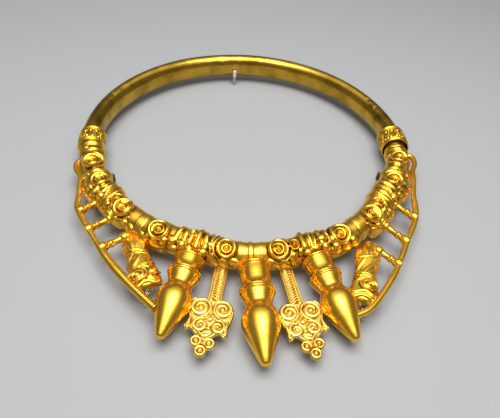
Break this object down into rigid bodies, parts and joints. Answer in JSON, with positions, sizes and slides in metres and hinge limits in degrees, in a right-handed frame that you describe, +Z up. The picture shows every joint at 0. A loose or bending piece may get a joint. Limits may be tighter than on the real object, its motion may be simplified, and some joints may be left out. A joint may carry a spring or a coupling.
{
  "type": "celtic gold torc",
  "caption": "Early Celtic style gold neck ring with a plain rear hoop, a carved front, bud and palmette pendants and side wires, lying raised on display pins.",
  "frame": {"origin": "centre of the object's outline seen from above, on the surface that the display pins stand on", "axes": "+Z up through the ring; -Y towards the bud pendants; +X towards the collar that the carved ring plugs into"},
  "size_m": [0.1858, 0.2252, 0.0193],
  "materials": {
    "gold_polished": "worn polished gold with fine scratches",
    "gold_relief": "chased gold, bright on the ridges and darker in the hollows",
    "gold_matte": "pale matte gold sheet with fine filigree lines",
    "pin_metal": "thin metal pin with a pale sleeve",
    "peg_clear": "clear acrylic"
  },
  "bodies": {
    "root": {"rear_hoop": "gold_polished", "left_collar": "gold_relief", "right_collar": "gold_relief", "front_ring": "gold_relief", "left_bud": "gold_polished", "centre_bud": "gold_polished", "right_bud": "gold_polished", "left_palmette_plaque": "gold_matte", "right_palmette_plaque": "gold_matte", "left_figure_ornament": "gold_relief", "right_figure_ornament": "gold_relief", "left_side_wire": "gold_relief", "right_side_wire": "gold_relief", "left_strut_1": "gold_relief", "left_strut_2": "gold_relief", "left_strut_3": "gold_relief", "right_strut_1": "gold_relief", "right_strut_2": "gold_relief", "right_strut_3": "gold_relief", "back_pin": "pin_metal", "left_pin": "pin_metal", "right_pin": "pin_metal", "left_front_peg": "peg_clear", "right_front_peg": "peg_clear"}
  },
  "joints": []
}
